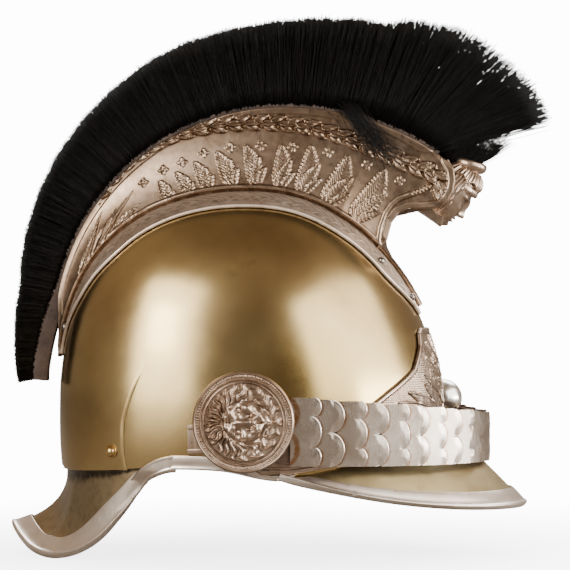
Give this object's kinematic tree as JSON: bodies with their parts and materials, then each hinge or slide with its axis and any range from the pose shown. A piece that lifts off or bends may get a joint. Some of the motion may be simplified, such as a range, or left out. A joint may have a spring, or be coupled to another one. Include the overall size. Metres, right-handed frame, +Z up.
{
  "type": "cavalry helmet",
  "caption": "Brass cavalry helmet with neck guard and visor, embossed crest with a mask, horsehair brush, rosettes and scaled chin straps buckled over the visor.",
  "frame": {"origin": "in the head opening, on the middle plane, below the rosettes' axis at the height of the lowest side rim", "axes": "+X to the front of the helmet, +Y to the wearer's left, +Z up, along the plume socket's bore"},
  "size_m": [0.3339, 0.2248, 0.335],
  "materials": {
    "brass": "polished, aged to olive gold",
    "bright_brass": "polished",
    "nickel_silver": "embossed nickel silver with warm tarnish",
    "scale_metal": "polished with coppery edges",
    "white_metal": "bright",
    "brown_leather": "worn",
    "linen": "matt",
    "cord": "matt",
    "horsehair": "slightly glossy hair",
    "iron": "dark"
  },
  "bodies": {
    "helmet": {"skull": "brass", "nape_plate": "brass", "nape_rivets": "bright_brass", "neck_guard": "brass", "neck_guard_trim": "nickel_silver", "right_rim_trim": "nickel_silver", "left_rim_trim": "nickel_silver", "visor": "bright_brass", "visor_trim": "nickel_silver", "visor_rivets": "nickel_silver", "front_plate": "nickel_silver", "front_laurel": "nickel_silver", "grenade_boss": "white_metal", "right_crest_plate": "nickel_silver", "left_crest_plate": "nickel_silver", "right_crest_foot": "nickel_silver", "left_crest_foot": "nickel_silver", "crest_channel": "iron", "crest_screws": "bright_brass", "crest_mask": "nickel_silver", "tuft_cup": "nickel_silver", "brush_spine": "brown_leather", "brush_nape": "horsehair", "brush_back": "horsehair", "brush_crown": "horsehair", "brush_brow": "horsehair", "brush_front": "horsehair", "right_stud": "iron", "left_stud": "iron", "stud_nuts": "iron", "right_rosette": "nickel_silver", "left_rosette": "nickel_silver", "right_lion": "nickel_silver", "left_lion": "nickel_silver", "plume_socket": "nickel_silver", "sweatband": "brown_leather", "liner_tongues": "linen", "liner_ring": "cord"},
    "chin_scales": {"right_strap": "brown_leather", "left_strap": "brown_leather", "right_scales": "scale_metal", "left_scales": "scale_metal", "strap_loop": "brown_leather", "strap_tongue": "brown_leather", "strap_keeper": "brown_leather", "buckle_frame": "nickel_silver"},
    "buckle_prong": {"buckle_prong": "nickel_silver"}
  },
  "joints": [
    {"name": "chin_scales_swing", "type": "hinge", "parent": "helmet", "child": "chin_scales", "pos_m": [0, 0, 0.034], "axis": [0, -1, 0], "range_deg": [0, 40]},
    {"name": "buckle_prong_swing", "type": "hinge", "parent": "chin_scales", "child": "buckle_prong", "pos_m": [0.14524, 0.0085, 0.021], "axis": [0, 0, -1], "range_deg": [0, 25]}
  ]
}
